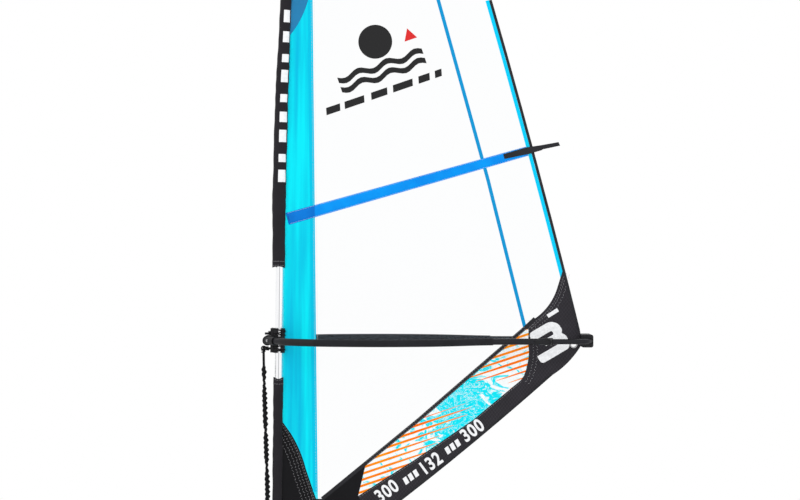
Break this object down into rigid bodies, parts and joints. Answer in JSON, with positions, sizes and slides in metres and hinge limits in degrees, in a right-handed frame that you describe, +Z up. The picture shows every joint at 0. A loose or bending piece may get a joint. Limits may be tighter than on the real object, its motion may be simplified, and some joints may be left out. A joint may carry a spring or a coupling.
{
  "type": "windsurf sail rig",
  "caption": "Small windsurf rig: mast with luff sleeve, panelled sail with film windows, wishbone boom, uphaul, mast extension and rubber tendon base.",
  "frame": {"origin": "centre of the base plate's underside, where the rig stands on its board", "axes": "+Z up along the lower mast, +X from the mast towards the clew, the sail in the XZ plane"},
  "size_m": [1.4048, 0.419, 3.3328],
  "materials": {
    "bare_aluminium": "brushed and polished",
    "extension_metal": "satin anodised",
    "black_plastic": "fine moulded grain",
    "grey_plastic": "fine moulded grain",
    "stainless": "brushed",
    "black_rubber": "matt",
    "grip_foam": "ribbed foam",
    "arm_metal": "black anodised",
    "black_fabric": "woven",
    "charcoal_fabric": "scrim laminate",
    "cyan_fabric": "coated cloth",
    "graphic_fabric": "printed cloth",
    "clear_film": "clear film",
    "blue_tape": "translucent tape",
    "head_film": "translucent film",
    "batten_rod": "pultruded",
    "black_rope": "braided",
    "webbing": "woven webbing"
  },
  "bodies": {
    "rig": {"mast_lower_section": "bare_aluminium", "mast_upper_section": "bare_aluminium", "mast_ferrule": "extension_metal", "mast_tip_plug": "black_plastic", "extension_collar": "black_plastic", "sheave_axle": "stainless", "downhaul_cleat": "extension_metal", "tack_patch": "black_fabric", "luff_panel": "cyan_fabric", "window_panel": "clear_film", "leech_panel": "clear_film", "clew_patch": "charcoal_fabric", "graphic_panel": "graphic_fabric", "foot_band": "charcoal_fabric", "sail_rings": "stainless", "seam_tapes": "blue_tape", "foot_seam_binding": "webbing", "edge_bindings": "webbing", "leech_strip": "cyan_fabric", "head_overlay": "head_film", "batten_pockets": "blue_tape", "battens": "batten_rod", "batten_strap": "webbing", "luff_sleeve_upper": "black_fabric", "luff_sleeve_lower": "black_fabric", "head_cap": "webbing", "uphaul_line": "black_rope", "uphaul_hook": "stainless"},
    "downhaul_roller": {"downhaul_sheave": "grey_plastic"},
    "extension": {"extension_tube": "extension_metal", "foot_cup": "black_plastic"},
    "foot": {"swivel_pin": "stainless", "tendon_upper_cup": "black_plastic", "tendon_upper_bolt": "stainless", "tendon_upper_half": "black_rubber"},
    "waist": {"tendon_waist": "black_rubber"},
    "base": {"tendon_lower_half": "black_rubber", "base_plate": "black_plastic", "tendon_lower_bolt": "stainless", "base_pad": "black_rubber", "base_stud": "stainless"},
    "boom_head": {"boom_head_body": "black_plastic", "head_liner": "black_rubber", "lever_pin": "stainless"},
    "lever": {"clamp_lever": "grey_plastic"},
    "boom": {"front_bracket": "black_plastic", "boom_pivot_bolt": "stainless", "arm_tubes": "arm_metal", "arm_front_covers": "black_plastic", "grips": "grip_foam", "arm_collars": "black_plastic", "clip_pins": "stainless"},
    "clip_far": {"adjuster_clip_far": "black_plastic"},
    "clip_near": {"adjuster_clip_near": "black_plastic"},
    "boom_tail": {"tail_tube": "arm_metal", "tail_fitting": "black_plastic", "outhaul_roller_pins": "stainless", "outhaul_line": "black_rope"},
    "roller_near": {"outhaul_roller_near": "grey_plastic"},
    "roller_far": {"outhaul_roller_far": "grey_plastic"}
  },
  "joints": [
    {"name": "boom_height", "type": "slide", "parent": "rig", "child": "boom_head", "axis": [0, 0, 1], "range_m": [-0.1, 0.22], "deforming": ["uphaul_line"]},
    {"name": "boom_pitch", "type": "hinge", "parent": "boom_head", "child": "boom", "pos_m": [-0.047, 0, 1.341], "axis": [0, -1, 0], "range_deg": [-9.7, 4.6]},
    {"name": "clamp_lever_swing", "type": "hinge", "parent": "boom_head", "child": "lever", "pos_m": [-0.03, 0.026, 1.377], "axis": [0, 0, 1], "range_deg": [0, 110]},
    {"name": "tail_extension", "type": "slide", "parent": "boom", "child": "boom_tail", "axis": [0.9999, 0, 0.0105], "range_m": [0, 0.12], "deforming": ["outhaul_line"]},
    {"name": "clip_far_swing", "type": "hinge", "parent": "boom", "child": "clip_far", "pos_m": [1.14294, 0.1035, 1.35346], "axis": [0.0105, 0, -0.9999], "range_deg": [0, 70]},
    {"name": "clip_near_swing", "type": "hinge", "parent": "boom", "child": "clip_near", "pos_m": [1.14294, -0.1035, 1.35346], "axis": [-0.0105, 0, 0.9999], "range_deg": [0, 70]},
    {"name": "outhaul_roller_near_spin", "type": "hinge", "parent": "boom_tail", "child": "roller_near", "pos_m": [1.28993, -0.013, 1.355], "axis": [0, 1, 0], "continuous": true},
    {"name": "outhaul_roller_far_spin", "type": "hinge", "parent": "boom_tail", "child": "roller_far", "pos_m": [1.28993, 0.013, 1.355], "axis": [0, 1, 0], "continuous": true},
    {"name": "downhaul_sheave_spin", "type": "hinge", "parent": "rig", "child": "downhaul_roller", "pos_m": [0.05, 0, 0.268], "axis": [0, 1, 0], "continuous": true},
    {"name": "mast_extension", "type": "slide", "parent": "rig", "child": "extension", "axis": [0, 0, -1], "range_m": [0, 0.12]},
    {"name": "foot_swivel", "type": "hinge", "parent": "extension", "child": "foot", "pos_m": [0, 0, 0.17], "axis": [0, 0, 1], "continuous": true},
    {"name": "tendon_pitch", "type": "hinge", "parent": "foot", "child": "waist", "pos_m": [0, 0, 0.072], "axis": [0, 1, 0], "range_deg": [-60, 60], "stiffness_Nm_per_rad": 6, "deforming": ["tendon_upper_half"]},
    {"name": "tendon_roll", "type": "hinge", "parent": "waist", "child": "base", "pos_m": [0, 0, 0.072], "axis": [1, 0, 0], "range_deg": [-60, 60], "stiffness_Nm_per_rad": 6, "deforming": ["tendon_lower_half"]}
  ],
  "couplings": [
    {"joint": "boom_pitch", "follows": "boom_height", "rad_per_m": -0.75}
  ]
}
